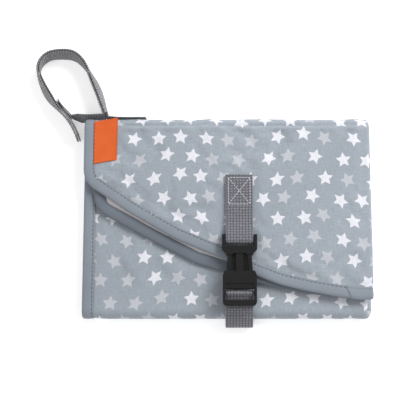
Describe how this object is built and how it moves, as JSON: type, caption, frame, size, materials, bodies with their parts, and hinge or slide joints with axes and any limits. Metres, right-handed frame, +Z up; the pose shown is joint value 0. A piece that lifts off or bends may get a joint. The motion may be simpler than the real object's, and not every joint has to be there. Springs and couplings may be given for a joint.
{
  "type": "changing pad",
  "caption": "Folded quilted travel changing pad with an envelope flap, a side-release buckle strap and a hook-and-loop wrist strap.",
  "frame": {"origin": "centre of the folded pad's underside, the face it rests on", "axes": "+X along the top fold towards the centre fold, +Y from the bottom fold to the top fold, +Z up out of the flap"},
  "size_m": [0.3185, 0.2661, 0.0362],
  "materials": {
    "print": "matte",
    "foam": "matte",
    "lining": "satin",
    "binding": "satin",
    "webbing": "matte",
    "wrist_webbing": "matte",
    "hook_and_loop": "matte",
    "label": "satin",
    "thread": "satin",
    "plastic": "satin"
  },
  "bodies": {
    "pad": {"back_shell": "print", "back_foam": "foam", "back_lining": "lining", "back_outer_binding": "binding", "back_inner_binding": "binding", "front_shell": "print", "front_foam": "foam", "front_lining": "lining", "front_inner_binding": "binding", "front_outer_binding": "binding", "bottom_fold_shell": "print", "bottom_fold_foam": "foam", "bottom_fold_lining": "lining", "bottom_fold_binding": "binding", "top_fold_shell": "print", "top_fold_foam": "foam", "top_fold_lining": "lining", "top_fold_binding": "binding", "crown_shell": "print", "crown_foam": "foam", "crown_lining": "lining", "crown_binding": "binding", "lower_strap_loop": "webbing", "lower_strap_back": "webbing", "wrist_base": "wrist_webbing"},
    "flap": {"flap_shell": "print", "flap_foam": "foam", "flap_lining": "lining", "flap_inner_binding": "binding", "flap_outer_binding": "binding", "label": "label", "upper_strap": "webbing", "strap_stitches": "thread", "plug_body": "plastic"},
    "arm_left": {"plug_arm_left": "plastic"},
    "arm_right": {"plug_arm_right": "plastic"},
    "socket": {"socket": "plastic", "lower_strap_front": "webbing", "lower_strap_tail": "webbing"},
    "wrist_long": {"wrist_outer_tape": "wrist_webbing", "wrist_inner_tape": "wrist_webbing", "wrist_hook_patch": "hook_and_loop"},
    "wrist_short": {"wrist_short_strap": "wrist_webbing", "wrist_loop_patch": "hook_and_loop"}
  },
  "joints": [
    {"name": "flap_hinge", "type": "hinge", "parent": "pad", "child": "flap", "pos_m": [0, 0.0822, 0.0215], "axis": [-1, 0, 0], "range_deg": [0, 150], "deforming": ["crown_shell", "crown_foam", "crown_lining", "crown_binding", "label"]},
    {"name": "socket_slide", "type": "slide", "parent": "pad", "child": "socket", "axis": [0, -1, 0], "range_m": [0, 0.022], "deforming": ["lower_strap_loop", "plug_arm_left", "plug_arm_right"]},
    {"name": "arm_left_press", "type": "hinge", "parent": "flap", "child": "arm_left", "pos_m": [0.0038, -0.0381, 0.0312], "axis": [0, 0, 1], "range_deg": [0, 7], "stiffness_Nm_per_rad": 2},
    {"name": "arm_right_press", "type": "hinge", "parent": "flap", "child": "arm_right", "pos_m": [0.0182, -0.0381, 0.0312], "axis": [0, 0, -1], "range_deg": [0, 7], "stiffness_Nm_per_rad": 2},
    {"name": "wrist_swing", "type": "hinge", "parent": "pad", "child": "wrist_long", "pos_m": [-0.115, 0.0976, 0.01], "axis": [0, 0, -1], "range_deg": [0, 40]},
    {"name": "wrist_peel", "type": "hinge", "parent": "wrist_long", "child": "wrist_short", "pos_m": [-0.115, 0.0976, 0.01], "axis": [0, 0, -1], "range_deg": [0, 35]}
  ]
}
